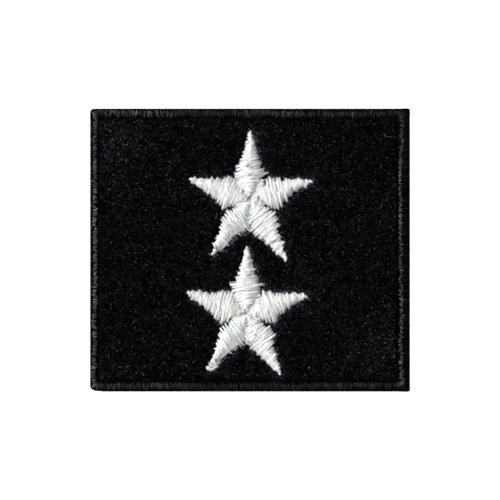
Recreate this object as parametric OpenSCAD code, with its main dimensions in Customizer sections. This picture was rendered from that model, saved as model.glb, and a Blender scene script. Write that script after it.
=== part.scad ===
// A cloth rank badge for a beret: a rectangle of black felt with two white embroidered stars, one above the
// other, and a border of grey thread wrapped round its edge. It lies on its back: +Z comes out of the face, +Y
// points to the badge's top, and the origin is under its middle, on the surface it lies on.

/* [Badge] */
// Width over the border
badge_w = 45; // [42:0.5:50]
// Height over the border
badge_h = 39.8; // [39:0.2:44]
// Radius of the top left corner, seen from the front
top_left_r = 0.5; // [0.3:0.1:1]
// Radius of the bottom left corner
bottom_left_r = 0.9; // [0.3:0.1:1]
// Radius of the two right corners
right_r = 0.3; // [0.3:0.1:1]

/* [Felt ground] */
// Thickness of the felt
felt_t = 1.5; // [1.3:0.1:2]
// Thickness of the edge that the border squeezes
tongue_t = 1; // [0.6:0.1:1.1]
// Radius of the roll by which the face dips to the border
face_roll_r = 0.5; // [0.2:0.1:0.6]
// Radius of the same roll on the back
back_roll_r = 0.25; // [0.1:0.05:0.4]

/* [Border] */
// How far the thread stands proud of the felt, on the face and on the back
border_rise = 0.2; // [0.1:0.05:0.3]
// Width of the band on the left side
left_band_w = 1.1; // [1:0.1:2]
// Width of the band on the right side
right_band_w = 1.6; // [1:0.1:2]
// Width of the band at the top
top_band_w = 1.3; // [1:0.1:2]
// Width of the band at the bottom
bottom_band_w = 1.3; // [1:0.1:2]
// Thickness of the thread outside the felt's edge
wrap_t = 0.35; // [0.3:0.05:0.45]
// Radius of the outer edge on the face
face_edge_r = 0.7; // [0.4:0.05:0.75]
// Radius of the outer edge on the back
back_edge_r = 0.4; // [0.2:0.05:0.5]
// Radius of the inner lip
lip_r = 0.25; // [0.1:0.05:0.35]

/* [Stars] */
// Thickness of the thread at the arms' shoulders, where it is highest
star_rise = 0.85; // [0.5:0.05:1.2]
// Sideways place of the upper star's heart
upper_heart_x = 0; // [-1:0.1:1]
// Height of the upper star's heart above the badge's middle
upper_heart_y = 7.1; // [6.8:0.1:7.6]
// Sideways place of the lower star's heart
lower_heart_x = -0.4; // [-1:0.1:1]
// Height of the lower star's heart above the badge's middle
lower_heart_y = -9.1; // [-9.4:0.1:-8.8]

/* [Hidden] */
$fn = 48;

// Clear space between neighbouring pieces
gap = 0.05;

// Smallest radius of a corner drawn in from the outline
least_corner_r = 0.2;

border_t = felt_t + 2 * border_rise;
felt_back_z = border_rise;
felt_face_z = border_rise + felt_t;
tongue_z = felt_back_z + (felt_t - tongue_t) / 2;

badge_x = [-badge_w / 2, badge_w / 2];
badge_y = [-badge_h / 2, badge_h / 2];
window_x = badge_x + [left_band_w, -right_band_w];
window_y = badge_y + [bottom_band_w, -top_band_w];

// Corners of the badge: side along x, side along y, radius
CORNERS = [
    [-1, 1, top_left_r],
    [-1, -1, bottom_left_r],
    [1, 1, right_r],
    [1, -1, right_r]
];

// Where each arm of a star ends, and the notch that follows it, going clockwise from the top arm. The places
// are from the star's heart: tip x, tip y, tip width, notch x, notch y
UPPER_STAR = [
    [-0.1, 9.75, 0.5, 2.5, 3.2],
    [8.9, 2.7, 0.45, 3.6, -1.4],
    [4.9, -8.75, 0.5, -0.2, -4.4],
    [-5.2, -7.95, 0.35, -3.7, -1.4],
    [-8.7, 2.95, 0.6, -2.4, 3.4]
];
LOWER_STAR = [
    [0, 9.8, 0.35, 2.5, 3.4],
    [8.7, 2.6, 0.45, 3.4, -1.6],
    [4.8, -8.4, 0.45, 0, -4.4],
    [-5.6, -7.7, 1, -3.9, -1.5],
    [-8.6, 3.1, 0.6, -2.7, 3.6]
];
TIP = [0, 1];
TIP_WIDTH = 2;
NOTCH = [3, 4];

// Sections along an arm: place, which is 0 at the tip, 1 at the shoulders and 2 at the heart, and the rise of
// the thread there as a share of star_rise
SECTIONS = [
    [0, 0.4],
    [0.1, 0.55],
    [0.35, 0.75],
    [0.7, 0.92],
    [1, 1],
    [1.25, 0.97],
    [1.55, 0.86],
    [1.91, 0.7]
];

// Strips that each section's arch is drawn with, and how square its shoulders are
ARCH_STRIPS = 8;
ARCH_POWER = 0.65;

function between(a, b, share) = a + (b - a) * share;
function unit(v) = v / norm(v);
function row_point(row, columns) = [row[columns[0]], row[columns[1]]];

// Edge of an arm at a place along it, on the side that has the given notch
function arm_edge(tip_corner, notch, place) =
    place <= 1 ? between(tip_corner, notch, place) : between(notch, [0, 0], place - 1);

// One section of an arm: an arch of points from its left edge over the crown to its right edge
function arch(left, right, rise) =
    let (side = unit(right - left) * gap, half = (right - left) / 2 - side, middle = (left + right) / 2)
    [for (k = [0 : ARCH_STRIPS])
        let (turn = 180 * k / ARCH_STRIPS, across = middle - half * cos(turn))
        [across[0], across[1], rise * pow(sin(turn), ARCH_POWER)]];

// The arches of one arm, from the tip to the heart. An arm lies between the notch of the row before its own and
// the notch of its own row
function arm_arches(star, row) =
    let (
        tip = row_point(star[row], TIP),
        left_notch = row_point(star[(row + len(star) - 1) % len(star)], NOTCH),
        right_notch = row_point(star[row], NOTCH),
        tip_side = unit(right_notch - left_notch) * (star[row][TIP_WIDTH] / 2 + gap)
    )
    [for (section = SECTIONS)
        arch(arm_edge(tip - tip_side, left_notch, section[0]),
            arm_edge(tip + tip_side, right_notch, section[0]), star_rise * section[1])];

// A closed solid through rows of points, with flat ends and a flat underside
module loft(rows) {
    wide = len(rows[0]);
    last = len(rows) - 1;
    points = [for (row = rows) each row];
    sides = [for (j = [0 : last - 1], k = [0 : wide - 1])
        let (near = j * wide + k, next = j * wide + (k + 1) % wide)
        each [[near, near + wide, next + wide], [near, next + wide, next]]];
    ends = [for (k = [1 : wide - 2])
        each [[0, k, k + 1], [last * wide, last * wide + k + 1, last * wide + k]]];
    polyhedron(points, concat(sides, ends));
}

// What a rounded corner takes off a square one at the origin
module corner_cut(r) {
    difference() {
        translate([-r, -r]) square(2 * r);
        translate([r, r]) circle(r);
    }
}

// The badge's outline from the front, drawn in from its edge
module outline(inset) {
    difference() {
        translate([badge_x[0] + inset, badge_y[0] + inset])
            square([badge_w - 2 * inset, badge_h - 2 * inset]);
        for (corner = CORNERS)
            translate([corner[0] * (badge_w / 2 - inset), corner[1] * (badge_h / 2 - inset)])
                rotate(corner[0] < 0 ? (corner[1] < 0 ? 0 : -90) : (corner[1] < 0 ? 90 : 180))
                    corner_cut(max(corner[2] - inset, least_corner_r));
    }
}

// Section of a plate over a span, between two heights, with rounded edges on its back and its face
module plate_section(span, back_z, face_z, back_r, face_r) {
    difference() {
        translate([span[0], back_z]) square([span[1] - span[0], face_z - back_z]);
        translate([span[0], back_z]) corner_cut(back_r);
        translate([span[1], back_z]) rotate(90) corner_cut(back_r);
        translate([span[0], face_z]) rotate(-90) corner_cut(face_r);
        translate([span[1], face_z]) rotate(180) corner_cut(face_r);
    }
}

// Section of the border's window over a span, opening outwards at the face by the radius of the lip
module window_section(span) {
    translate([span[0], -border_t]) square([span[1] - span[0], 3 * border_t]);
    difference() {
        translate([span[0] - lip_r, border_t - lip_r])
            square([span[1] - span[0] + 2 * lip_r, border_t]);
        for (x = [span[0] - lip_r, span[1] + lip_r])
            translate([x, border_t - lip_r]) circle(lip_r);
    }
}

// Runs the first section along the height and the second along the width, and keeps what they share, so that
// the edges meet in mitres
module crossed_sections() {
    intersection() {
        translate([0, badge_h, 0]) rotate([90, 0, 0]) linear_extrude(2 * badge_h) children(0);
        translate([-badge_w, 0, 0]) rotate([90, 0, 90]) linear_extrude(2 * badge_w) children(1);
    }
}

// The felt: full thickness inside the border, rolled down to it, and a thin edge that the border holds
module felt_ground() {
    color("#0b0b0d") {
        crossed_sections() {
            plate_section(window_x + [gap, -gap], felt_back_z, felt_face_z, back_roll_r, face_roll_r);
            plate_section(window_y + [gap, -gap], felt_back_z, felt_face_z, back_roll_r, face_roll_r);
        }
        translate([0, 0, tongue_z]) linear_extrude(tongue_t) outline(wrap_t + gap);
    }
}

// The border: a rounded band round the outline, with a slot inside it for the felt's edge
module edge_border() {
    color("#2b2b2d") difference() {
        intersection() {
            crossed_sections() {
                plate_section(badge_x, 0, border_t, back_edge_r, face_edge_r);
                plate_section(badge_y, 0, border_t, back_edge_r, face_edge_r);
            }
            linear_extrude(border_t) outline(0);
        }
        crossed_sections() {
            window_section(window_x);
            window_section(window_y);
        }
        translate([0, 0, tongue_z - gap]) linear_extrude(tongue_t + 2 * gap) outline(wrap_t);
    }
}

// One arm of a star: a padded block of thread, highest at its shoulders
module star_arm(star, row, heart_x, heart_y) {
    color("#e8eaec") translate([heart_x, heart_y, felt_face_z + gap]) loft(arm_arches(star, row));
}

module upper_star_arm(row) {
    star_arm(UPPER_STAR, row, upper_heart_x, upper_heart_y);
}

module lower_star_arm(row) {
    star_arm(LOWER_STAR, row, lower_heart_x, lower_heart_y);
}

felt_ground();
edge_border();
upper_star_arm(0);  // upper_star_top_arm
upper_star_arm(1);  // upper_star_right_arm
upper_star_arm(2);  // upper_star_lower_right_arm
upper_star_arm(3);  // upper_star_lower_left_arm
upper_star_arm(4);  // upper_star_left_arm
lower_star_arm(0);  // lower_star_top_arm
lower_star_arm(1);  // lower_star_right_arm
lower_star_arm(2);  // lower_star_lower_right_arm
lower_star_arm(3);  // lower_star_lower_left_arm
lower_star_arm(4);  // lower_star_left_arm
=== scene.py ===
import math
from collections import namedtuple

import bmesh
import bpy
import numpy as np
from mathutils import Matrix, Vector, noise


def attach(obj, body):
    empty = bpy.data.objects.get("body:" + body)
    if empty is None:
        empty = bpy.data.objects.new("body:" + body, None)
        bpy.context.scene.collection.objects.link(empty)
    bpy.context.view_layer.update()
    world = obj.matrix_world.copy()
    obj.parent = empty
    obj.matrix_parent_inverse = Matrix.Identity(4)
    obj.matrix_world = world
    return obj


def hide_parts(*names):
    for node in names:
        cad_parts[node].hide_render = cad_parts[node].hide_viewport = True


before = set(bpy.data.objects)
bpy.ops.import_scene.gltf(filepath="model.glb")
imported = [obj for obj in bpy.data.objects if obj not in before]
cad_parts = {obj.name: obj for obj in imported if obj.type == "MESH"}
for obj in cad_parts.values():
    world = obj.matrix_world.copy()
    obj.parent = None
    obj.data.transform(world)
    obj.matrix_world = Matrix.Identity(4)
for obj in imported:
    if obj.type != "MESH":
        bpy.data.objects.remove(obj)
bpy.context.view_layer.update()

MM = 0.001

# Outline and heights, as the solids have them
badge_w = 45.0
badge_h = 39.8
left_band_w = 1.1
right_band_w = 1.6
top_band_w = 1.3
bottom_band_w = 1.3
felt_t = 1.5
tongue_t = 1.0
face_roll_r = 0.5
back_roll_r = 0.25
border_rise = 0.2
wrap_t = 0.35
star_rise = 0.85
gap = 0.05

border_t = felt_t + 2 * border_rise
felt_back_z = border_rise
felt_face_z = border_rise + felt_t
tongue_back_z = felt_back_z + (felt_t - tongue_t) / 2
tongue_face_z = tongue_back_z + tongue_t
cloth_w = badge_w - 2 * (wrap_t + gap)
cloth_h = badge_h - 2 * (wrap_t + gap)
window_x = np.array([-badge_w / 2 + left_band_w, badge_w / 2 - right_band_w])
window_y = np.array([-badge_h / 2 + bottom_band_w, badge_h / 2 - top_band_w])

# One arm of a star. Its places are from the star's heart: its tip, the width there, the notch that
# follows it going clockwise, the angle at which its stitches cross it, in degrees from the badge's width,
# how far its crest leans anticlockwise (below 1) or clockwise (above 1), where its stitching ends
# (distance and sideways place), and its widths: distance from the heart, and how far the stitches reach
# anticlockwise and clockwise of its axis
Arm = namedtuple("Arm", "name tip tip_width notch angle lean end widths")
Star = namedtuple("Star", "name heart arms")
STARS = [
    Star("upper_star", (0, 7.1), [
        Arm("top_arm", (-0.1, 9.75), 0.5, (2.5, 3.2), 12, 1.0, (9.62, 0.05), [
            (3.2, 2.1, 1.85), (3.8, 2.05, 2.2), (4.4, 2.0, 1.9), (5.5, 1.4, 1.45), (6.7, 0.8, 1.2),
            (8.5, 0.4, 0.75)]),
        Arm("right_arm", (8.9, 2.7), 0.45, (3.6, -1.4), 104, 1.25, (9.2, 0), [
            (3.1, 2.1, 2.35), (3.6, 2.25, 2.4), (4.3, 2.0, 1.9), (5.2, 1.5, 1.6), (6.1, 1.25, 0.95),
            (6.9, 1.1, 0.65), (8.2, 0.55, 0.5)]),
        Arm("lower_right_arm", (4.9, -8.75), 0.5, (-0.2, -4.4), 42, 0.6, (10.1, -0.15), [
            (3.2, 2.3, 1.6), (3.7, 2.25, 2.15), (4.2, 2.15, 2.05), (4.9, 1.9, 1.75), (6.0, 1.3, 1.2),
            (7.6, 1.2, 0.65), (8.4, 0.7, 0.45), (9.4, 0.55, 0.05)]),
        Arm("lower_left_arm", (-5.2, -7.95), 0.35, (-3.7, -1.4), 130, 1.3, (9.5, 0.1), [
            (3.3, 2.45, 2.0), (3.8, 2.35, 2.0), (4.2, 1.95, 1.95), (4.8, 1.65, 1.75), (5.7, 1.0, 1.4),
            (6.8, 1.0, 1.05), (7.8, 0.75, 1.0), (8.8, 0.15, 0.55)]),
        Arm("left_arm", (-8.7, 2.95), 0.6, (-2.4, 3.4), 70, 1.1, (9.05, 0), [
            (3.1, 2.5, 2.35), (3.6, 2.2, 2.15), (4.7, 1.55, 1.6), (5.7, 1.2, 1.35), (7.2, 0.75, 0.75),
            (8.6, 0.4, 0.45)])]),
    Star("lower_star", (-0.4, -9.1), [
        Arm("top_arm", (0, 9.8), 0.35, (2.5, 3.4), 10, 0.95, (9.55, -0.05), [
            (3.2, 2.15, 1.9), (3.8, 2.3, 1.9), (4.3, 2.3, 2.2), (4.7, 1.75, 1.6), (5.6, 1.3, 1.3),
            (6.6, 1.1, 1.15), (7.8, 0.65, 0.65), (9.0, 0.5, 0.45)]),
        Arm("right_arm", (8.7, 2.6), 0.45, (3.4, -1.6), 106, 1.2, (8.82, -0.15), [
            (3.1, 2.5, 2.4), (3.7, 2.4, 1.9), (4.3, 1.95, 1.5), (5.0, 1.75, 1.15), (6.6, 1.15, 0.6),
            (8.2, 0.75, 0.35)]),
        Arm("lower_right_arm", (4.8, -8.4), 0.45, (0, -4.4), 40, 0.6, (9.7, 0.1), [
            (3.2, 1.95, 1.9), (3.6, 2.0, 2.2), (4.2, 2.15, 2.1), (5.3, 1.22, 1.7), (7.0, 0.75, 1.05),
            (8.9, 0.25, 0.5)]),
        Arm("lower_left_arm", (-5.6, -7.7), 1, (-3.9, -1.5), 128, 1.3, (9.65, 0), [
            (3.2, 2.4, 2.0), (3.7, 2.3, 1.95), (4.2, 2.05, 1.85), (5.0, 1.65, 1.5), (6.4, 1.1, 0.9),
            (7.5, 0.75, 0.42), (8.5, 1.0, 0.38), (9.2, 0.5, 0.3)]),
        Arm("left_arm", (-8.6, 3.1), 0.6, (-2.7, 3.6), 71, 1.1, (9.02, 0), [
            (3.1, 2.4, 2.35), (3.8, 2.25, 2.15), (4.4, 1.85, 2.0), (5.6, 1.25, 1.15), (7.0, 0.85, 0.95),
            (8.6, 0.45, 0.5)])]),
]
# How much of the way from a star's heart to each of its notches is filled
VALLEY_SHARES = [0.9, 0.62, 0.9, 0.62, 0.8]
# Stitches that stand out of line, from the star's heart: start, end and height
STRAY_STITCHES = {
    "upper_star": [((0.95, 3.2), (2.62, 3.86), 0.42), ((1.1, 3.5), (2.45, 3.75), 0.4)],
    "lower_star": [((-3.4, -5.45), (-4.68, -4.78), 0.35), ((-0.9, 4.0), (-2.45, 4.3), 0.5)],
}
# Loose ends of thread where the stitching was finished off: places from the star's heart, and radius
LOOSE_ENDS = {
    "upper_star": [
        ([(-4.9, -6.4), (-4.3, -6.6), (-4.0, -7.05), (-4.5, -7.2), (-4.9, -6.9)], 0.05),
        ([(-4.6, -6.3), (-3.9, -6.5), (-3.8, -6.95)], 0.04),
        ([(-5.0, -6.7), (-5.15, -7.2), (-5.25, -7.7)], 0.07)],
    "lower_star": [
        ([(-4.4, -6.0), (-3.9, -6.3), (-3.75, -6.8), (-4.0, -7.1)], 0.03),
        ([(-4.6, -6.3), (-4.0, -6.6), (-3.95, -7.0)], 0.03),
        ([(-5.85, -7.4), (-5.25, -7.4), (-4.6, -7.15), (-4.1, -7.1)], 0.13),
        ([(-5.8, -7.6), (-5.2, -7.75), (-4.5, -7.45), (-4.05, -7.25)], 0.14),
        ([(-5.6, -7.75), (-5.1, -7.85), (-4.5, -7.65)], 0.1)],
}
# Places painted dark on the thread: needle holes left open, for the shade in them, and a few darker
# places of the thread. Place from the star's heart, radius and depth
PAINTED_DARK_PLACES = {
    "upper_star": [
        ((-0.12, 0.3), 0.32, 1.0), ((1.2, 0.25), 0.22, 1.0), ((3.3, -6.0), 0.16, 0.9),
        ((3.65, -5.8), 0.16, 0.9), ((-0.3, 4.75), 0.15, 0.9), ((0.3, 4.6), 0.12, 0.9),
        ((0.0, 3.5), 0.12, 0.9), ((-4.35, -7.0), 0.45, 0.4), ((-4.9, -6.6), 0.4, 0.25)],
    "lower_star": [
        ((1.17, -2.87), 0.14, 0.9), ((-2.34, -1.92), 0.1, 0.9), ((-0.17, 6.0), 0.12, 0.9),
        ((-0.3, 0.2), 0.18, 0.95), ((-4.1, -6.6), 0.3, 0.85), ((-5.0, -6.9), 0.6, 0.2)],
}
# Rise of an arm's thread, as shares of the whole, at places from 0 at its tip to 1 at its shoulders and 2
# at the heart, and how square its arch is
RISE_PLACES = [0, 0.1, 0.35, 0.7, 1, 1.25, 1.55, 2]
RISE_SHARES = [0.4, 0.55, 0.75, 0.92, 1, 0.97, 0.86, 0.7]
ARCH_POWER = 0.65
# How far the needle holes lie out from an arm's outline, which is inwards when it is below 0
HOLE_INSET = -0.055
# Space between the needle holes of one side of an arm
STITCH_SPACING = 0.44
# The stitches of each side pull together in clumps: the clumps' spacing, how far the stitches shift
# towards their middle, and how far they reach out there
CLUMP_SPACING = 1.1
CLUMP_SHIFT = 0.025
CLUMP_REACH = 0.12
# The white thread's slight warmth
WHITE = np.array([1.0, 1.006, 0.985])
# The thread of each arm: the radius of its plies, how round they stay, where 1 is not flattened at all,
# how bright they are, how much that varies from stitch to stitch, and how many loose filaments each
# stitch has. The brightness is painted light and shade: the same white thread is made lighter or darker
# arm by arm for how the light falls on each, and the wider spread on the lower left arm stands in for
# shade between its stitches.
Thread = namedtuple("Thread", "ply_r roundness brightness spread filaments")
ARM_THREADS = {
    "top_arm": Thread(0.078, 0.38, 0.97, 0.04, 4),
    "right_arm": Thread(0.078, 0.28, 1.02, 0.04, 4),
    "lower_right_arm": Thread(0.078, 0.27, 1.035, 0.04, 4),
    "lower_left_arm": Thread(0.064, 0.6, 0.91, 0.12, 2),
    "left_arm": Thread(0.078, 0.3, 0.975, 0.04, 4),
}
# How far the wrapped thread swells out from the badge's outline, along the sides and at the corners
RIM_SWELL = 0.14
CORNER_SWELL = 0.09
# How far each corner is rounded along the badge's width and along its height
CORNER_REACH = {(1, 1): (0.03, 0.03), (-1, 1): (0.5, 0.35), (-1, -1): (1.4, 0.55), (1, -1): (0.03, 0.03)}
# The grey stitches of each side: the shares of the band's width from the edge between which they lie, their
# tone, how much its colour varies, and how far in they are set and how bright they are at places along it.
# The tone is painted light and shade: the same grey thread is made brightest on the left, a little darker
# on the right, darker on the top and darkest on the bottom, for how the light from the left falls on each
# side.
Crest = namedtuple("Crest", "reach tone tint places insets glows")
UPRIGHT_PLACES = [-17.2, -12.8, -8.6, -4.2, 0, 4.4, 8.8, 13.1, 17.4]
LEVEL_PLACES = [-19.6, -14.8, -9.9, -4.9, 0, 4.8, 9.7, 14.5, 19.5]
CRESTS = {
    "right": Crest(
        (0.65, 0.92), 0.039, 0.08, UPRIGHT_PLACES,
        [-0.16, -0.07, -0.12, -0.03, -0.03, 0.06, 0.09, -0.04, -0.22],
        [0.85, 1.2, 1.35, 1.17, 0.87, 1.2, 1.28, 1.12, 0.45]),
    "left": Crest(
        (0.32, 0.84), 0.056, 0.08, UPRIGHT_PLACES,
        [-0.12, 0.12, 0.08, 0.06, 0.1, 0.06, 0.1, 0.06, 0.1],
        [1.05, 0.75, 1.15, 1.6, 1.25, 1.25, 1.15, 0.52, 1.12]),
    "top": Crest(
        (0.22, 0.9), 0.0145, 0.15, LEVEL_PLACES,
        [-0.06, 0.06, 0.04, 0, -0.05, 0.12, 0.17, 0.22, 0.08],
        [1.4, 1.8, 0.65, 0.52, 0.55, 1.6, 0.95, 1.05, 0.75]),
    "bottom": Crest(
        (0.25, 0.98), 0.007, 0.3, LEVEL_PLACES,
        [-0.03, 0, 0.06, -0.08, 0.05, -0.08, 0.04, 0.12, 0.16],
        [1.6, 1.5, 1.35, 0.75, 0.66, 0.82, 1.1, 1.15, 1.55]),
}
# How far to the right the top and bottom ones fade, and to what share of their tone
CREST_FADE_X = 21.6
CREST_FADE = 0.3
# Stray threads on the felt: places along each, radius and tone
STRAY_THREADS = [
    ([(18.9, 16.65), (18.92, 16.3), (19.1, 16.05), (19.6, 15.95), (20.25, 15.93)], 0.035,
     (0.06, 0.06, 0.07)),
    ([(18.28, 11.35), (18.4, 11.6), (18.5, 12.0), (18.62, 12.3)], 0.04, (0.05, 0.055, 0.05)),
    ([(-7.1, 14.3), (-6.9, 14.6), (-6.5, 14.75)], 0.03, (0.04, 0.04, 0.04)),
]
# Where the felt is paler with dust: place, size and how much
DUSTY = [
    ((-19.5, 16.6), 3.8, 2.9), ((-19.5, 11.0), 3.5, 0.8), ((1.8, 16.4), 2.8, 1.0),
    ((19.0, -14.5), 4.5, 2.1), ((-19.0, -16.0), 4.0, 0.6), ((19.5, 5.0), 4.5, 0.4),
    ((8.5, 8.0), 3.5, 0.4), ((8.5, -6.0), 3.5, 0.6),
]
# Pale specks of lint: place and brightness
SPECKS = [
    (15.44, -14.49, 0.16), (16.89, -16.91, 0.2), (19.09, -15.03, 0.1), (15.87, -17.58, 0.08),
    (17.6, -14.04, 0.07), (8.35, -16.6, 0.3), (7.6, -16.2, 0.08), (6.1, -15.4, 0.08), (0.44, -17.4, 0.14),
    (1.03, -17.6, 0.12), (-0.34, -17.7, 0.12), (0.44, -16.6, 0.06), (5.5, -9.6, 0.06),
    (-6.6, -13.3, 0.05), (-7.9, -15.7, 0.07), (-1.5, 15.7, 0.05), (-6.3, 14.6, 0.06),
    (-3.35, -0.42, 0.08), (-13.8, 15.1, 0.08),
]

# Points nearer than this are one point, as at a strand's ends
SAME_PLACE = 1e-6
# How far the plies of a thread lie from its middle, to the side and up, in radii of its twist
PLY_ASIDE = 1.2
PLY_UP = 0.6
# How far the stars' stitches draw the felt down beside them, and how far out that reaches
DRAWN_DOWN = 0.1
DRAWN_REACH = 0.35
# Lumps of the felt's face and of its back: height, size and seed
FACE_LUMPS = [(0.035, 3.5, 1.5), (0.03, 0.8, 8.5)]
BACK_LUMPS = (0.02, 0.9, 20.5)
# How far the hairs' middles stay from the left, right, bottom and top of the border's window
NAP_MARGINS = (0.45, 0.15, 0.25, 0.35)

chance = np.random.default_rng(7)


# Finishes

class Number:
    """One number socket of a finish. Maths on it adds Math nodes."""

    def __init__(self, finish, socket):
        self.finish = finish
        self.socket = socket

    def maths(self, operation, *values):
        made = self.finish.node("Math", {"operation": operation}, dict(enumerate(values)))
        return Number(self.finish, made.outputs[0])

    def __add__(self, other):
        return self.maths("ADD", self, other)

    def __sub__(self, other):
        return self.maths("SUBTRACT", self, other)

    def __rsub__(self, other):
        return self.maths("SUBTRACT", other, self)

    def __mul__(self, other):
        return self.maths("MULTIPLY", self, other)

    def __pow__(self, other):
        return self.maths("POWER", self, other)

    __radd__ = __add__
    __rmul__ = __mul__


class Finish:
    """A material being made, with one method that adds any node to it."""

    def __init__(self, name):
        self.material = bpy.data.materials.new(name)
        self.material.use_nodes = True
        self.tree = self.material.node_tree
        self.tree.nodes.clear()

    def node(self, kind, settings=None, values=None):
        """A node of a kind. Its settings are made first, and then its sockets get their values or links."""
        made = self.tree.nodes.new("ShaderNode" + kind)
        for name, setting in (settings or {}).items():
            setattr(made, name, setting)
        for name, value in (values or {}).items():
            self.feed(made.inputs[name], value)
        return made

    def feed(self, socket, value):
        if isinstance(value, Number):
            value = value.socket
        if isinstance(value, bpy.types.NodeSocket):
            self.tree.links.new(value, socket)
        else:
            socket.default_value = value

    def grain(self, vector, scale, detail=2.0, roughness=0.5, distortion=0.0):
        """Smooth noise from 0 to 1 on a vector."""
        made = self.node("TexNoise", {}, {
            "Vector": vector, "Scale": scale, "Detail": detail, "Roughness": roughness,
            "Distortion": distortion})
        return Number(self, made.outputs["Fac"])

    def ramp(self, factor, low, high, low_value=0.0, high_value=1.0):
        """A number that runs from one value to another while a factor goes from low to high."""
        made = self.node("MapRange", {"interpolation_type": "SMOOTHSTEP"}, {
            "Value": factor, "From Min": low, "From Max": high, "To Min": low_value, "To Max": high_value})
        return Number(self, made.outputs["Result"])

    def blend(self, how, factor, first, second):
        """Two colours mixed."""
        made = self.node("Mix", {"data_type": "RGBA", "blend_type": how}, {0: factor, 6: first, 7: second})
        return made.outputs[2]

    def scaled(self, vector, by):
        """A vector stretched along its axes."""
        return self.node("VectorMath", {"operation": "MULTIPLY"}, {0: vector, 1: by}).outputs[0]

    def bump(self, height, strength, distance):
        """A normal that a height bends. The distance is in millimetres."""
        made = self.node("Bump", {}, {"Height": height, "Strength": strength, "Distance": distance * MM})
        return made.outputs["Normal"]

    def attribute(self, name):
        """A colour that the mesh carries."""
        return self.node("Attribute", {"attribute_name": name}).outputs["Color"]

    def surface(self, values):
        """The finish's shader, with its sockets' values."""
        shader = self.node("BsdfPrincipled", {}, values)
        self.node("OutputMaterial", {}, {"Surface": shader.outputs["BSDF"]})
        return self.material


def thread_finish(name, roughness, shine, sheen, glow=0.0):
    """Smooth spun thread: each strand has its own tone, and fine filaments run along it. Pale thread
    glows a little, as light goes some way into it."""
    finish = Finish(name)
    fineness = (1.8, 8, 1)
    glow_depth = 0.15
    tone = finish.attribute("tone")
    strand = finish.node("UVMap", {"uv_map": "strand"}).outputs["UV"]
    along = finish.scaled(strand, fineness)
    filaments = finish.grain(along, 1.0, detail=3, roughness=0.6, distortion=0.4)
    shade = finish.ramp(filaments, 0.25, 0.7, low_value=0.88, high_value=1.03)
    grey = finish.node("CombineColor", {}, {0: shade, 1: shade, 2: shade}).outputs[0]
    return finish.surface({
        "Base Color": finish.blend("MULTIPLY", 1.0, tone, grey),
        "Roughness": roughness,
        "Specular IOR Level": shine,
        "Sheen Weight": sheen,
        "Sheen Roughness": 0.4,
        "Subsurface Weight": glow,
        "Subsurface Radius": (1, 1, 1),
        "Subsurface Scale": glow_depth * MM,
        "Normal": finish.bump(filaments, strength=0.25, distance=0.02)})


def felt_finish():
    """Pressed black wool: matted hairs with their pits painted near black as shade, small light flecks, a
    drift of blue and brown in the dye, paler places where dust lies, and a painted glow beside the stars."""
    finish = Finish("black_wool_felt")
    pit_shade_black = (0.0002, 0.0002, 0.0003, 1)
    blue_black = (0.0095, 0.0098, 0.0127, 1)
    brown_black = (0.0117, 0.0101, 0.0106, 1)
    place = finish.node("TexCoord").outputs["Object"]
    dye_drift = finish.grain(place, 160.0, detail=3)
    clumps = finish.grain(place, 900.0, detail=3)
    mat = finish.grain(place, 4300.0, detail=3, roughness=0.6, distortion=1.5)
    hairs = finish.grain(place, 9000.0, detail=2, distortion=0.8)
    # Painted shade: where the noise that bumps the felt is low, in its pits, the colour goes near black
    lit = finish.ramp(mat + (clumps - 0.5) * 0.3 + (hairs - 0.5) * 0.5, 0.42, 0.72) ** 1.6
    dye = finish.blend("MIX", finish.ramp(dye_drift, 0.4, 0.6), blue_black, brown_black)
    colour = finish.blend("MIX", lit, pit_shade_black, dye)
    # Paler with dust, and with the painted glow beside the stars, as the mesh carries them
    colour = finish.blend("ADD", lit, colour, finish.attribute("paler"))
    return finish.surface({
        "Base Color": colour,
        "Roughness": 0.95,
        "Specular IOR Level": 0.0,
        "Normal": finish.bump(mat + hairs * 0.4, strength=0.8, distance=0.12)})


def hair_finish(name):
    """Loose hairs, each of its own tone."""
    finish = Finish(name)
    tone = finish.attribute("tone")
    return finish.surface({"Base Color": tone, "Roughness": 0.8, "Specular IOR Level": 0.0})


def floor_finish():
    finish = Finish("pale_floor")
    return finish.surface({
        "Base Color": (0.35, 0.35, 0.35, 1), "Roughness": 0.9, "Specular IOR Level": 0.1,
        "Emission Color": (1, 1, 1, 1), "Emission Strength": 1.0})


# Making shapes

def unit(way):
    """A way with a length of 1."""
    return np.array(way) / np.linalg.norm(way)


def left_of(way):
    """The level way that lies to the left of one."""
    return np.array([-way[1], way[0]])


def new_object(name, data):
    """A new object in the scene, at its origin."""
    made = bpy.data.objects.new(name, data)
    bpy.context.scene.collection.objects.link(made)
    return made


def paint(mesh, name, colours):
    """Gives each point of a mesh a colour, as an attribute."""
    colours = np.c_[colours, np.ones(len(colours))]
    mesh.attributes.new(name, "FLOAT_COLOR", "POINT").data.foreach_set("color", colours.ravel())


def section_ring(sides, flatness):
    """The closed ring that a strand's tube is drawn with, lower than it is wide by the flatness."""
    line = bpy.data.curves.new("section", "CURVE")
    line.dimensions = "2D"
    line.fill_mode = "NONE"
    ring = line.splines.new("POLY")
    ring.points.add(sides - 1)
    ring.use_cyclic_u = True
    for corner, point in enumerate(ring.points):
        turn = -2 * math.pi * corner / sides
        point.co = (math.cos(turn), flatness * math.sin(turn), 0, 1)
    return new_object("section", line)


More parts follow.
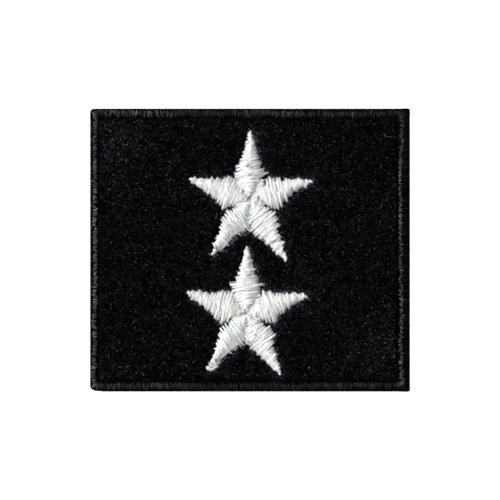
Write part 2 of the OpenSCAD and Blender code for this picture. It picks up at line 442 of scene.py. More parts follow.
def add_strands(name, finish, runs, radii, tones, sides, flatness=1.0, replaces=None):
    """Adds a piece made of strands, round or flat. Each follows a run of points and closes to a point at
    both ends. Its tone is the same all along it, or one for each of its points."""
    section = section_ring(sides, flatness)
    line = bpy.data.curves.new(name, "CURVE")
    line.dimensions = "3D"
    line.twist_mode = "Z_UP"
    line.bevel_mode = "OBJECT"
    line.bevel_object = section
    for run, radius in zip(runs, np.broadcast_to(radii, len(runs))):
        spline = line.splines.new("POLY")
        spline.points.add(len(run) - 1)
        spline.points.foreach_set("co", np.c_[run, np.ones(len(run))].ravel())
        thickness = np.full(len(run), 1.0) * radius
        thickness[[0, -1]] = 0
        spline.points.foreach_set("radius", thickness)
    drawn = new_object(name, line)
    mesh = bpy.data.meshes.new_from_object(drawn.evaluated_get(bpy.context.evaluated_depsgraph_get()))
    mesh.name = name
    for spent in (drawn, section):
        curve = spent.data
        bpy.data.objects.remove(spent)
        bpy.data.curves.remove(curve)
    mark_strands(mesh, runs, tones, sides)
    shape = bmesh.new()
    shape.from_mesh(mesh)
    bmesh.ops.remove_doubles(shape, verts=shape.verts, dist=SAME_PLACE)
    shape.to_mesh(mesh)
    shape.free()
    mesh.transform(Matrix.Scale(MM, 4))
    add_piece(name, mesh, finish, replaces)


def mark_strands(mesh, runs, tones, sides):
    """Gives each strand its tone, a map in millimetres along it and in turns round it, and its own cell
    of a second map, OFBake, for baking."""
    cell_margin = 0.06
    pattern_shift = 0.37
    corners = np.array([len(run) * sides for run in runs])
    strand_of_vertex = np.repeat(np.arange(len(runs)), corners)
    by_point = np.concatenate([np.broadcast_to(tone, (len(run), 3)) for run, tone in zip(runs, tones)])
    paint(mesh, "tone", np.repeat(np.clip(by_point, 0, 1), sides, axis=0))
    vertex_of_loop = np.zeros(len(mesh.loops), int)
    mesh.loops.foreach_get("vertex_index", vertex_of_loop)
    strand = strand_of_vertex[vertex_of_loop]
    strand_map = mesh.uv_layers[0]
    strand_map.name = "strand"
    place = np.zeros(len(mesh.loops) * 2)
    strand_map.uv.foreach_get("vector", place)
    place = place.reshape(-1, 2)
    cells = math.ceil(math.sqrt(len(runs)))
    cell = np.c_[strand % cells, strand // cells]
    bake_map = mesh.uv_layers.new(name="OFBake")
    inside = cell + cell_margin + (1 - 2 * cell_margin) * place
    bake_map.uv.foreach_set("vector", (inside / cells).ravel())
    lengths = np.array([np.linalg.norm(np.diff(run, axis=0), axis=1).sum() for run in runs])
    measured = np.c_[place[:, 0] * lengths[strand] + strand * pattern_shift, place[:, 1]]
    strand_map.uv.foreach_set("vector", measured.ravel())


def add_piece(name, mesh, finish, replaces=None):
    """Puts a finished mesh in the scene as one piece of the badge."""
    mesh.materials.clear()
    mesh.materials.append(finish)
    mesh.polygons.foreach_set("use_smooth", [True] * len(mesh.polygons))
    made = new_object(name, mesh)
    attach(made, "root")
    if replaces:
        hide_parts(replaces)
    return made


def drift(count, reach, spread):
    """A row of numbers that wander about 0, each near the one before it."""
    loose = np.convolve(chance.normal(0, 1, count + reach), np.ones(reach) / math.sqrt(reach), "same")
    return spread * loose[:count]


def twisted(run, side, radius, pitch, turn, plies=2):
    """The plies of a thread that follows a run of points. The side is the level way square to the run."""
    step = np.gradient(run, axis=0)
    step /= np.linalg.norm(step, axis=1, keepdims=True)
    rise = np.cross(side, step)
    travelled = np.r_[0, np.cumsum(np.linalg.norm(np.diff(run, axis=0), axis=1))]
    made = []
    for ply in range(plies):
        angle = turn + 2 * math.pi * (travelled / pitch + ply / plies)
        aside = PLY_ASIDE * np.cos(angle)[:, None] * side
        up = PLY_UP * np.sin(angle)[:, None] * rise
        made.append(run + radius * (aside + up))
    return made


def resampled(places, count):
    """Points spread evenly over the steps of a broken line: how far along, from 0 to 1, and where."""
    share = np.linspace(0, 1, count)
    knots = np.linspace(0, 1, len(places))
    x, y = (np.interp(share, knots, column) for column in np.array(places, float).T)
    return share, x, y


# The felt

def fractal(x, y, size, seed):
    """Smooth lumps of about a size, from -1 to 1, at each of many places."""
    lumps = [noise.noise(Vector((a / size, b / size, seed))) for a, b in zip(x.ravel(), y.ravel())]
    return np.array(lumps).reshape(x.shape)


def inside_window(x, y):
    """How far places lie inside the border's window."""
    return np.minimum.reduce([x - window_x[0], window_x[1] - x, y - window_y[0], window_y[1] - y]) - gap


def arm_outline(star, row):
    """The five corners of an arm, from the star's heart: two at the tip, the shoulders, and the heart."""
    arm = star.arms[row]
    before = np.array(star.arms[row - 1].notch, float)
    after = np.array(arm.notch, float)
    side = unit(after - before) * arm.tip_width / 2
    tip = np.array(arm.tip, float)
    return np.array([tip - side, before, (0, 0), after, tip + side])


def arm_sides(arm):
    """The two edges of an arm's stitching, anticlockwise and clockwise, from its end to the heart."""
    axis = unit(arm.tip)
    aside = -left_of(axis)
    end = axis * arm.end[0] + aside * arm.end[1]
    stations = arm.widths[::-1]
    left = [axis * distance - aside * reach for distance, reach, other in stations]
    right = [axis * distance + aside * reach for distance, other, reach in stations]
    return np.array([end, *left, (0, 0)]), np.array([end, *right, (0, 0)])


def outside_outline(x, y, outline):
    """How far places lie outside a closed outline, or less than 0 inside it."""
    nearest = np.full(x.shape, np.inf)
    inside = np.zeros(x.shape, bool)
    for start, end in zip(outline, np.roll(outline, -1, axis=0)):
        edge = end - start
        share = np.clip(((x - start[0]) * edge[0] + (y - start[1]) * edge[1]) / (edge @ edge), 0, 1)
        apart = np.hypot(x - start[0] - share * edge[0], y - start[1] - share * edge[1])
        nearest = np.minimum(nearest, apart)
        level = (start[1] > y) != (end[1] > y)
        inside ^= level & ((x - start[0]) * abs(edge[1]) < (y - start[1]) * edge[0] * np.sign(edge[1]))
    return np.where(inside, -nearest, nearest)


def outside_stars(x, y):
    """How far places lie outside the nearest star, roughly, or less than 0 in it."""
    nearest = np.full(x.shape, np.inf)
    for star in STARS:
        for arm in star.arms:
            left, right = arm_sides(arm)
            outline = np.concatenate([left, right[-2:0:-1]]) + star.heart
            nearest = np.minimum(nearest, outside_outline(x, y, outline))
    return nearest


def felt_face(x, y):
    """Height of the felt's face: rolled down to the border, drawn down by the stars, and uneven."""
    roll = face_roll_r - np.clip(inside_window(x, y), 0, face_roll_r)
    rolled = felt_face_z - face_roll_r + np.sqrt(face_roll_r ** 2 - roll ** 2)
    drawn_down = DRAWN_DOWN * np.exp(-np.clip(outside_stars(x, y), 0, None) / DRAWN_REACH)
    inner = np.clip(inside_window(x, y) / face_roll_r, 0, 1)
    uneven = sum(height * fractal(x, y, size, seed) for height, size, seed in FACE_LUMPS)
    return np.maximum(rolled - drawn_down + inner * uneven, tongue_face_z)


def felt_back(x, y):
    """Height of the felt's back, rolled up to the border and a little uneven."""
    height, size, seed = BACK_LUMPS
    roll = back_roll_r - np.clip(inside_window(x, y), 0, back_roll_r)
    rolled = felt_back_z + back_roll_r - np.sqrt(back_roll_r ** 2 - roll ** 2)
    inner = np.clip(inside_window(x, y) / face_roll_r, 0, 1)
    return rolled + inner * height * (1 + fractal(x, y, size, seed))


def make_felt(finish):
    """The felt as one closed sheet with its squeezed edge, its points closer together near the border."""
    even_share = 0.45
    bare_edge = 0.8
    dust_tone = (0.004, 0.004, 0.0043)
    glow_tone = (0.004, 0.0045, 0.006)
    shape = bmesh.new()
    bmesh.ops.create_grid(shape, x_segments=150, y_segments=132, size=1)
    top = bmesh.ops.extrude_face_region(shape, geom=shape.faces[:])
    lifted = [part for part in top["geom"] if isinstance(part, bmesh.types.BMVert)]
    bmesh.ops.translate(shape, verts=lifted, vec=(0, 0, 1))
    bmesh.ops.recalc_face_normals(shape, faces=shape.faces)
    mesh = bpy.data.meshes.new("felt_ground_cloth")
    shape.to_mesh(mesh)
    shape.free()
    place = np.zeros(len(mesh.vertices) * 3)
    mesh.vertices.foreach_get("co", place)
    place = place.reshape(-1, 3)
    eased = even_share * place[:, :2] + (1 - even_share) * np.sin(place[:, :2] * math.pi / 2)
    x, y = (eased * (cloth_w / 2, cloth_h / 2)).T
    z = np.where(place[:, 2] > 0.5, felt_face(x, y), felt_back(x, y))
    mesh.vertices.foreach_set("co", np.c_[x, y, z].ravel())
    mesh.transform(Matrix.Scale(MM, 4))
    settled = dust(x, y) * np.clip(inside_window(x, y) / bare_edge, 0, 1)
    # Paler with dust, and with a painted glow beside the stars
    paint(mesh, "paler", settled[:, None] * dust_tone + painted_glow(x, y, close=0, wide=1) * glow_tone)
    return add_piece("felt_ground_cloth", mesh, finish, "felt_ground")


def hair_runs(count, length, lift, curl, height, clear, side=1):
    """Runs of hairs scattered over the felt. Each leaves it, arches to its lift and goes back in. They
    keep clear of the stars by a distance."""
    left, right, bottom, top = NAP_MARGINS
    inset = 0.02
    root = 0.03
    x = chance.uniform(window_x[0] + left, window_x[1] - right, count)
    y = chance.uniform(window_y[0] + bottom, window_y[1] - top, count)
    if clear is not None:
        free = outside_stars(x, y) > clear
        x, y = x[free], y[free]
    places = np.linspace(-0.5, 0.5, 4)
    heading = chance.uniform(0, 2 * math.pi, len(x))[:, None]
    bend = chance.normal(0, curl, len(x))[:, None]
    reach = chance.uniform(*length, len(x))[:, None]
    turned = heading + bend * places
    along = np.c_[x, y][:, None, :] + reach[..., None] * places[None, :, None] * np.stack(
        [np.cos(turned), np.sin(turned)], axis=2)
    flat_x = np.clip(along[..., 0], window_x[0] + inset, window_x[1] - inset)
    flat_y = np.clip(along[..., 1], window_y[0] + inset, window_y[1] - inset)
    rise = chance.uniform(*lift, len(x))[:, None] * (1 - (2 * places) ** 2) - root
    return np.stack([flat_x, flat_y, height(flat_x, flat_y) + side * rise], axis=2)


def hair_tones(count, low, high, glint_share, bright):
    """Tones for hairs: dark, some painted bright as glints, and each a little blue, brown or green."""
    tint_spread = 0.14
    cool = (0.98, 0.98, 1.08)
    value = low * (high / low) ** chance.random(count)
    # Painted glints: a share of the black hairs is made pale where they would catch the light
    lit = chance.random(count) < glint_share
    value[lit] = bright * (0.5 + chance.random(lit.sum()))
    tint = 1 + tint_spread * chance.normal(size=(count, 3))
    return np.clip(value[:, None] * tint * cool, 0, 1)


def dust(x, y):
    """How much paler the felt is at places, for dust."""
    paler = np.zeros(x.shape)
    for (at_x, at_y), size, amount in DUSTY:
        paler += amount * np.exp(-((x - at_x) ** 2 + (y - at_y) ** 2) / size ** 2)
    return paler


def painted_glow(x, y, close, wide):
    """How strong the painted glow beside the stars is at places: close by and more widely, most to their
    right.
    """
    step = 0.05
    towards = math.radians(-20)
    close_reach = 0.11
    wide_reach = 0.65
    apart = outside_stars(x, y)
    away = np.stack([outside_stars(x + step, y) - apart, outside_stars(x, y + step) - apart]) / step
    facing = away[0] * math.cos(towards) + away[1] * math.sin(towards)
    apart = np.clip(apart, 0, None)
    held = np.minimum(close * np.exp(-apart / close_reach), 1) + wide * np.exp(-apart / wide_reach)
    return held[:, None] * np.clip(0.5 + 0.5 * facing, 0, 1)[:, None]


def make_nap(name, runs, radius, tones, finish, worn):
    """Hairs of the felt. Where it is worn, they are paler with dust, and beside the stars they carry a
    painted glow.
    """
    dust_share = 0.5
    glow_tone = (0.21, 0.23, 0.29)
    thickness = chance.uniform(radius[0], radius[1], len(runs))
    if worn:
        x, y = runs[:, 1:3, 0].mean(axis=1), runs[:, 1:3, 1].mean(axis=1)
        dusted = tones * (1 + dust_share * dust(x, y))[:, None]
        # Painted glow beside the stars
        tones = dusted + painted_glow(x, y, close=8, wide=0.13) * glow_tone
    add_strands(name, finish, runs, thickness, tones, 3)


def make_lint(finish):
    """Lint that has settled on the felt: a few stray threads and scattered pale specks."""
    thread_lift = 0.04
    thread_arch = 0.05
    speck_lift = 0.1
    speck_r = 0.05
    speck_steps = 0.07 * np.array([[-1.2], [-0.5], [0.5], [1.2]])
    cream = np.array([1.0, 0.98, 0.94])
    runs = []
    radii = []
    tones = []
    for line, radius, tone in STRAY_THREADS:
        share, x, y = resampled(line, 9)
        runs.append(np.c_[x, y, felt_face(x, y) + thread_lift + thread_arch * np.sin(math.pi * share)])
        radii.append(radius)
        tones.append(np.array(tone))
    for x, y, brightness in SPECKS:
        heading = chance.uniform(0, math.pi)
        step = speck_steps * np.array([math.cos(heading), math.sin(heading)])
        place = step + np.array([x, y]) + chance.normal(0, 0.02, (4, 2))
        runs.append(np.c_[place, felt_face(place[:, 0], place[:, 1]) + speck_lift])
        radii.append(speck_r)
        tones.append(brightness * cream)
    add_strands("felt_lint", finish, runs, radii, tones, 5)


# The border

def rim_line():
    """The line that the wrapped thread is laid along, going anticlockwise from the middle of the right
    side. It swells out along the sides and is pulled in at the corners."""
    corner_points = 7
    swell_start = 0.4
    half = np.array([badge_w, badge_h]) / 2 + CORNER_SWELL
    swell = RIM_SWELL - CORNER_SWELL
    line = [(half[0] + swell, 0)]
    for corner in [(1, 1), (-1, 1), (-1, -1), (1, -1)]:
        reach = np.array(CORNER_REACH[corner])
        middle = np.array(corner) * (half - reach)
        start = math.atan2(corner[1], corner[0]) - math.pi / 4
        for turn in np.linspace(start, start + math.pi / 2, corner_points):
            line.append(middle + reach * np.array([math.cos(turn), math.sin(turn)]))
        first = np.array([round(math.cos(start)), round(math.sin(start))])
        last = left_of(first)
        line.insert(-corner_points, middle + (reach + swell) * first - swell_start * last)
        line.append(middle + (reach + swell) * last - swell_start * first)
    line.append((half[0] + swell, 0))
    return np.array(line, float)


def rim_places(pitch, jitter):
    """Places all round the rim, about a pitch apart."""
    line = rim_line()
    travelled = np.r_[0, np.cumsum(np.linalg.norm(np.diff(line, axis=0), axis=1))]
    places = np.linspace(0, travelled[-1], round(travelled[-1] / pitch), endpoint=False)
    places = places + chance.normal(0, jitter, len(places))
    return np.c_[np.interp(places, travelled, line[:, 0]), np.interp(places, travelled, line[:, 1])]


def across_band(outer):
    """At a place on the outline: the way to the band's inner edge, the way along it, and its width."""
    inward = np.array([np.clip(outer[0], *window_x), np.clip(outer[1], *window_y)]) - outer
    return unit(inward), left_of(unit(inward)), np.linalg.norm(inward)


def make_border_overcast(finish):
    """Black thread wrapped closely over the felt's edge, from its face to its back."""
    thread_r = 0.15
    bedded = 0.03
    squareness = 0.8
    blackness = 0.003
    cool = np.array([1.0, 1.0, 1.1])
    turns = np.radians(np.linspace(20, 340, 13))
    across = np.sign(np.cos(turns)) * np.abs(np.cos(turns)) ** squareness
    up = np.sign(np.sin(turns)) * np.abs(np.sin(turns)) ** squareness
    runs = []
    tones = []
    for outer in rim_places(pitch=0.235, jitter=0.01):
        inward, level, band = across_band(outer)
        from_edge = thread_r + (band / 2 - thread_r) * (1 + across)
        leaning = level * chance.normal(0.1, 0.03) * (1 + across[:, None]) / 2
        height = border_t / 2 + (border_t / 2 - thread_r - bedded) * up
        runs.append(np.c_[outer + inward * from_edge[:, None] + leaning, height])
        tones.append(blackness * np.exp(chance.normal(0, 0.5)) * cool)
    add_strands(
        "edge_border_overcast", finish, runs, thread_r, tones, 5, replaces="edge_border")


def crest(outer):
    """The grey stitches at a place on the outline: the shares of the band's width between which they lie,
    how far in they are set, their tone, painted lighter or darker by side for how the light falls, and how
    much its colour varies."""
    depths = {
        "right": (outer[0] - window_x[1]) / right_band_w,
        "left": (window_x[0] - outer[0]) / left_band_w,
        "top": (outer[1] - window_y[1]) / top_band_w,
        "bottom": (window_y[0] - outer[1]) / bottom_band_w}
    side = max(depths, key=depths.get)
    upright = side in ("left", "right")
    stitches = CRESTS[side]
    tone = stitches.tone
    if outer[0] > CREST_FADE_X and not upright:
        tone *= CREST_FADE
    place = outer[1] if upright else outer[0]
    inset = np.interp(place, stitches.places, stitches.insets)
    glow = np.interp(place, stitches.places, stitches.glows)
    return stitches.reach, inset, tone * glow, stitches.tint


def make_border_stitches(finish):
    """Grey stitches over the black ones along the band's crest: uneven, crossing, of three fine plies."""
    ply_r = 0.038
    ply_offset = 0.05
    ply_pitch = 0.9
    least_length = 0.25
    ends_sunk = 0.14
    count = 7
    grey = np.array([0.98, 1.0, 1.02])
    runs = []
    tones = []
    places = rim_places(pitch=0.2, jitter=0.07)
    worn = drift(len(places), reach=5, spread=0.24)
    wander = drift(len(places), reach=4, spread=0.07)
    for outer, patch, shift in zip(places, worn, wander):
        (near, far), inset, shade, tint = crest(outer)
        inward, level, band = across_band(outer)
        near = near * band + inset + shift + chance.normal(0, 0.08)
        far = max(far * band + inset + shift + chance.normal(0, 0.14), near + least_length)
        from_edge = np.linspace(near, far, count)
        slant = chance.normal(0.04, 0.2)
        along = slant * np.linspace(-0.5, 0.5, count) + drift(count, reach=3, spread=0.03)
        across = np.clip(from_edge / band * 2 - 1, -0.98, 0.98)
        crown = border_t / 2 * (1 + (1 - np.abs(across) ** 2.5) ** 0.4)
        height = crown - ply_r - abs(chance.normal(0, 0.05))
        height[[0, -1]] -= ends_sunk
        run = np.c_[outer + inward * from_edge[:, None] + level * along[:, None], height]
        tone = shade * np.exp(chance.normal(-0.1, 0.3 + tint / 2) + patch) * grey
        tone = tone * np.exp(tint * chance.normal(size=3) * (0.6, 0.4, 1.2))
        turn = chance.uniform(0, math.pi)
        for ply in twisted(run, np.array([*level, 0]), ply_offset, ply_pitch, turn, plies=3):
            runs.append(ply)
            fleck = np.exp(chance.normal(0, 0.3) + drift(count, reach=2, spread=0.4))[:, None]
            tones.append(tone * fleck * (1 + 0.05 * chance.normal(size=3)))
    add_strands("edge_border_stitches", finish, runs, ply_r, tones, 4)


# The stars

def cuts(run, along, across, offset):
    """The places along a line where a run of points crosses it. The line lies at an offset across."""
    places = []
    for start, end in zip(run, run[1:]):
        side_a = start @ across - offset
        side_b = end @ across - offset
        if side_a * side_b < 0:
            places.append((start + (end - start) * side_a / (side_a - side_b)) @ along)
    return places


def needle_holes(arm):
    """Where the needle goes through, anticlockwise and clockwise in turn, from an arm's end inwards."""
    steady_holes = 3
    left, right = arm_sides(arm)
    along = np.array([math.cos(math.radians(arm.angle)), math.sin(math.radians(arm.angle))])
    if along @ (right[1] - left[1]) < 0:
        along = -along
    across = left_of(along)
    if across @ left[0] > 0:
        across = -across
    reach = np.concatenate([left, right]) @ across
    first, last = reach.min() + STITCH_SPACING / 6, reach.max() - STITCH_SPACING / 4
    offsets = np.arange(first, last, STITCH_SPACING / 2)
    count = len(offsets)
    steady_end = np.minimum(np.arange(count) / steady_holes, 1)
    side = np.arange(count) % 2
    clump = 2 * math.pi * offsets / CLUMP_SPACING
    clump += np.choose(side, [drift(count, reach=12, spread=1.5), drift(count, reach=12, spread=1.5)])
    clump += np.choose(side, chance.uniform(0, 2 * math.pi, 2))
    uneven = drift(count, reach=3, spread=0.03) + chance.normal(0, 0.04, count)
    offsets = offsets + steady_end * (uneven - CLUMP_SHIFT * np.sin(clump))
    stretch = HOLE_INSET + steady_end * (chance.normal(0, 0.06, count) + CLUMP_REACH * np.cos(clump))
    holes = []
    for order, offset in enumerate(offsets):
        start = cuts(left, along, across, offset)
        end = cuts(right, along, across, offset)
        if start and end:
            reach_out = stretch[order] * np.clip(max(end) - min(start), 0.3, 1)
            place = max(end) + reach_out if order % 2 else min(start) - reach_out
            holes.append((order % 2, along * place + across * offset))
    return holes


def rise_at(outline, place):
    """How high an arm's thread stands at a place, from the arm's own shape."""
    tip = (outline[0] + outline[-1]) / 2
    length = np.linalg.norm(tip)
    axis = tip / length
    shoulder = (outline[1] + outline[3]) @ axis / 2
    from_heart = np.clip(place @ axis, 0, length)
    past_shoulder = 2 - from_heart / shoulder
    before_shoulder = (length - from_heart) / (length - shoulder)
    where = np.where(from_heart < shoulder, past_shoulder, before_shoulder)
    return star_rise * np.interp(where, RISE_PLACES, RISE_SHARES)


def stitch_run(start, end, height, lean):
    """One stitch: up through the felt, over the padding and down again. Its crest leans to one end."""
    point_spacing = 0.17
    least_points = 7
    sunk = 0.16
    length = np.linalg.norm(end - start)
    count = max(least_points, math.ceil(length / point_spacing))
    share = (1 - np.cos(np.linspace(0, math.pi, count))) / 2
    arch = np.sin(math.pi * share ** lean) ** ARCH_POWER
    sideways = left_of(unit(end - start))
    free = np.sin(math.pi * share)
    sway = free * drift(count, reach=3, spread=0.05)
    level = start + (end - start) * share[:, None] + sideways * sway[:, None]
    rise = (height + sunk) * arch
    run = np.c_[level, felt_face_z - sunk + rise + free * drift(count, reach=3, spread=0.03)]
    return run, np.array([*sideways, 0])


def side_at(side, axis, distance):
    """The place on an arm's edge at a distance along its axis."""
    outwards = side[::-1]
    return np.array([np.interp(distance, outwards @ axis, column) for column in outwards.T])


def padding_runs(arm, outline):
    """Threads laid lengthwise under an arm's stitches, which the stitches arch over."""
    start = 0.5
    short_of_end = 0.4
    share_of_rise = 0.45
    bedded = 0.05
    left, right = arm_sides(arm)
    axis = unit(arm.tip)
    runs = []
    for across in np.linspace(0.2, 0.8, 11):
        run = []
        for distance in np.linspace(start, arm.widths[-1][0] - short_of_end, 14):
            edges = side_at(left, axis, distance), side_at(right, axis, distance)
            point = edges[0] + (edges[1] - edges[0]) * across
            top = rise_at(outline, axis * distance) * math.sin(math.pi * across ** arm.lean) ** ARCH_POWER
            run.append((*point, felt_face_z + share_of_rise * top - bedded))
        runs.append(np.array(run))
    return runs


def shaded(star, run, tone):
    """A thread's tone at each of its points: painted darker where it goes down into the felt, as shade, and
    painted dark at the listed dark places, such as needle holes left open, for the shade in them. A hole is
    drawn out along the thread."""
    drawn_out = 1.8
    heading = unit((run[-1] - run[0])[:2])
    # Painted shade: the lower the thread dips towards and into the felt, the darker it is made
    light = np.interp(run[:, 2] - felt_face_z, [-0.1, 0.3], [0.55, 1])
    # Painted shade in open needle holes, and other listed places made darker
    for place, radius, depth in PAINTED_DARK_PLACES[star.name]:
        away = run[:, :2] - place
        apart = np.hypot(away @ heading / drawn_out, away @ left_of(heading)) / radius
        light *= 1 - depth * np.exp(-apart ** 2)
    return tone * light[:, None]


def make_loose(star, finish):
    """Stitches that stand out of line, and the loose ends at the lower left arm."""
    stray_twist_r = 0.06
    stray_ply_r = 0.08
    stray_pitch = 1.4
    end_lift = 0.08
    end_arch = 0.12
    end_sunk = 0.1
    heart = np.array([*star.heart, 0])
    runs = []
    radii = []
    for start, end, height in STRAY_STITCHES[star.name]:
        run, level = stitch_run(np.array(start), np.array(end), height, lean=0.6)
        for ply in twisted(run, level, stray_twist_r, stray_pitch, turn=0.5):
            runs.append(ply + heart)
            radii.append(stray_ply_r)
    for places, radius in LOOSE_ENDS[star.name]:
        share, x, y = resampled(places, 12)
        height = felt_face_z + end_lift + radius + end_arch * np.sin(math.pi * share)
        height[[0, -1]] -= end_sunk
        aside = left_of(unit((x[-1] - x[0], y[-1] - y[0])))
        run = np.c_[x, y, height] + heart
        for ply in twisted(run, np.array([*aside, 0]), 0.45 * radius, 1.0, chance.uniform(0, 6), plies=3):
            runs.append(ply)
            radii.append(0.6 * radius)
    tones = [chance.uniform(0.42, 0.6) * WHITE for run in runs]
    add_strands(star.name + "_loose_thread", finish, runs, radii, tones, 6)


def filament(run, level, length):
    """A loose filament on a stitch of a length, a little aside of it and reaching past its ends."""
    lift = 0.09
    most_past = 0.2
    loose = run + level * (chance.normal(0, 0.12) + drift(len(run), reach=4, spread=0.07))[:, None]
    from_middle = loose[:, :2] - loose[:, :2].mean(axis=0)
    loose[:, :2] += from_middle * min(chance.exponential(0.07), most_past) * 2 / length
    loose[:, 2] += lift + chance.uniform(0, 0.06) * np.sin(math.pi * np.linspace(0, 1, len(run)))
    return loose


def make_arm(star, row, finish):
    """One arm: satin stitches side by side over padding, each of three plies with loose filaments."""
    twist_pitch = 1.2
    lowest_arch = 0.3
    arch_share = 0.42
    bedded = 0.1
    least_stitch = 0.15
    filament_r = 0.017
    padding_r = 0.2
    # The padding is the white thread, painted grey for the shade it lies in under the stitches
    padding_shade_tone = np.array([0.7, 0.71, 0.72])
    arm = star.arms[row]
    thread = ARM_THREADS[arm.name]
    outline = arm_outline(star, row)
    heart = np.array([*star.heart, 0])
    dulled_share = 0.22 + 1.8 * thread.spread
    holes = needle_holes(arm)
    stitches = []
    fuzz = []
    for first, second in zip(holes, holes[1:]):
        (_, start), (_, end) = (second, first) if first[0] else (first, second)
        length = np.linalg.norm(end - start)
        if length < least_stitch:
            continue
        height = float(rise_at(outline, (start + end) / 2))
        height = min(height, lowest_arch + arch_share * length) - bedded + chance.normal(0, 0.033)
        run, level = stitch_run(start, end, height, arm.lean)
        tone = thread.brightness + chance.normal(0, thread.spread)
        for ply in twisted(run, level, thread.ply_r, twist_pitch, chance.uniform(0, 6), plies=3):
            dulled = chance.random(len(run)) < dulled_share
            loss = np.where(dulled, chance.uniform(0.1, 0.5, len(run)), 0)
            tint = tone * (1 + 0.06 * chance.normal(size=3)) * WHITE
            stitches.append((ply + heart, shaded(star, ply, tint * (1 - loss[:, None]))))
        for _ in range(thread.filaments):
            loose = filament(run, level, length)
            pale = (thread.brightness - 0.03 + chance.normal(0, 0.1)) * WHITE
            fuzz.append((loose + heart, shaded(star, loose, pale)))
    name = f"{star.name}_{arm.name}"
    padding = padding_runs(arm, outline)
    runs = [run for run, tone in stitches] + [run + heart for run in padding]
    tones = [tone for run, tone in stitches] + [padding_shade_tone] * len(padding)
    radii = [thread.ply_r] * len(stitches) + [padding_r] * len(padding)
    add_strands(name + "_stitches", finish, runs, radii, tones, 6, thread.roundness, name)
    runs, tones = zip(*fuzz)
    add_strands(name + "_fuzz", finish, runs, filament_r, tones, 3)
    return [hole + star.heart for side, hole in holes]


def make_underlay(star, finish):
    """Threads laid side by side across the middle of a star, which close the valleys between its arms."""
    thread_r = 0.2
    spacing = 0.3
    lift = 0.18
    short_of_edge = 0.1
    count = 12
    slope = math.radians(20)
    # The underlay is the white thread, painted grey for the shade it lies in between the arms
    tone = np.array([0.62, 0.63, 0.64])
    notches = np.array([arm.notch for arm in star.arms]) * np.array(VALLEY_SHARES)[:, None]
    outline = np.concatenate([notches, notches[:1]])
    along = np.array([math.cos(slope), math.sin(slope)])
    across = left_of(along)
    reach = notches @ across
    runs = []
    for offset in np.arange(reach.min() + 0.2, reach.max(), spacing):
        places = sorted(cuts(outline, along, across, offset))
        if places:
            share = np.linspace(places[0] + short_of_edge, places[1] - short_of_edge, count)[:, None]
            waver = drift(count, reach=3, spread=0.05)[:, None]
            level = star.heart + along * share + across * (offset + waver)
            runs.append(np.c_[level, np.full(count, felt_face_z + lift)])
    tones = [tone] * len(runs)
    add_strands(star.name + "_underlay", finish, runs, thread_r, tones, 6)


def make_back_stitches(name, holes_by_arm, finish):
    """The same needle holes joined on the back, where the thread lies flat."""
    thread_r = 0.1
    brightness = 0.78
    share = np.array([0, 0.12, 0.5, 0.88, 1])[:, None]
    height = felt_back_z + np.array([0.1, -0.03, -0.07, -0.03, 0.1])
    runs = []
    for holes in holes_by_arm:
        for start, end in zip(holes, holes[1:]):
            runs.append(np.c_[start + (end - start) * share, height])
    tones = brightness + chance.normal(0, 0.05, (len(runs), 1)) + np.zeros((1, 3))
    add_strands(name, finish, runs, thread_r, tones, 5)


# Light, floor and camera

def make_studio():
    """A pale floor, soft light from the left and a pale sky."""
    light_place = Vector((-405, 165, 365))
    light_w = 600
    light_h = 160
    light_power = 6.7
    shape = bmesh.new()
    bmesh.ops.create_grid(shape, x_segments=1, y_segments=1, size=1.5)
    mesh = bpy.data.meshes.new("floor")
    shape.to_mesh(mesh)
    shape.free()
    mesh.materials.append(floor_finish())
    floor = new_object("floor", mesh)
    lamp = bpy.data.lights.new("key", "AREA")
    lamp.shape = "RECTANGLE"
    lamp.size = light_w * MM
    lamp.size_y = light_h * MM
    lamp.energy = light_power
    key = new_object("key", lamp)
    key.location = light_place * MM
    key.rotation_euler = (-light_place).to_track_quat("-Z", "Y").to_euler()
    world = bpy.data.worlds.new("soft_sky")
    world.use_nodes = True
    sky = world.node_tree.nodes["Background"]
    sky.inputs["Color"].default_value = (0.97, 0.985, 1.0, 1)
    sky.inputs["Strength"].default_value = 0.5
    bpy.context.scene.world = world


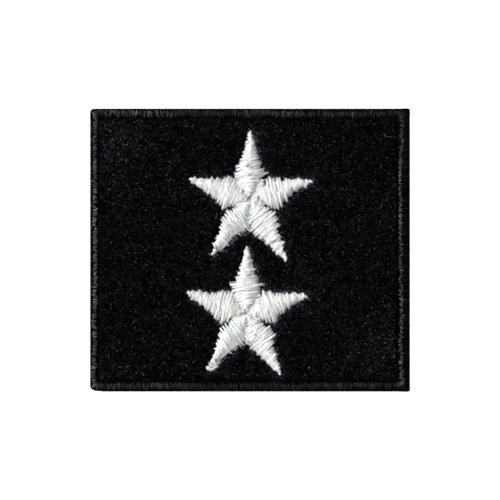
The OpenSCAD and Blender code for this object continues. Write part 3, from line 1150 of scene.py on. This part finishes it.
def make_camera():
    """Straight above the badge, far enough off for a level view."""
    distance = 600.0
    frame_w = 70.56
    sensor_w = 36
    middle_y = 0.01
    lens = bpy.data.cameras.new("overhead")
    lens.sensor_width = sensor_w
    lens.lens = sensor_w * distance / frame_w
    lens.clip_start = 0.01
    camera = new_object("overhead", lens)
    camera.location = Vector((0, middle_y, distance + felt_face_z)) * MM
    bpy.context.scene.camera = camera
    bpy.context.scene.view_settings.view_transform = "Standard"


felt = felt_finish()
hair = hair_finish("wool_hairs")
star_thread = thread_finish("white_star_thread", roughness=0.5, shine=0.25, sheen=0.1, glow=0.6)
border_thread = thread_finish("grey_border_thread", roughness=0.5, shine=0.15, sheen=0.0)
black_thread = thread_finish("black_overcast_thread", roughness=0.8, shine=0.0, sheen=0.0)

cloth = make_felt(felt)
lying = hair_runs(17000, length=(0.2, 0.7), lift=(0.04, 0.1), curl=1.4, height=felt_face, clear=0.0)
tones = hair_tones(len(lying), low=0.0001, high=0.037, glint_share=0.035, bright=0.075)
make_nap("felt_nap_lying", lying, (0.018, 0.04), tones, hair, worn=True)
raised = hair_runs(12000, length=(0.15, 0.6), lift=(0.08, 0.2), curl=2.2, height=felt_face, clear=0.04)
tones = hair_tones(len(raised), low=0.0001, high=0.042, glint_share=0.045, bright=0.09)
make_nap("felt_nap_raised", raised, (0.015, 0.03), tones, hair, worn=True)
under = hair_runs(
    4000, length=(0.4, 1.2), lift=(0.03, 0.07), curl=1.6, height=felt_back, clear=None, side=-1)
tones = hair_tones(len(under), low=0.0002, high=0.035, glint_share=0.03, bright=0.05)
make_nap("felt_nap_back", under, (0.02, 0.04), tones, hair, worn=False)
make_lint(hair)
make_border_overcast(black_thread)
make_border_stitches(border_thread)
# The stars have chance numbers of their own, which a change to the felt or the border leaves alone
chance = np.random.default_rng(3)
for star in STARS:
    holes = [make_arm(star, row, star_thread) for row in range(len(star.arms))]
    make_underlay(star, star_thread)
    make_loose(star, star_thread)
    make_back_stitches(star.name + "_back_stitches", holes, star_thread)
make_studio()
make_camera()
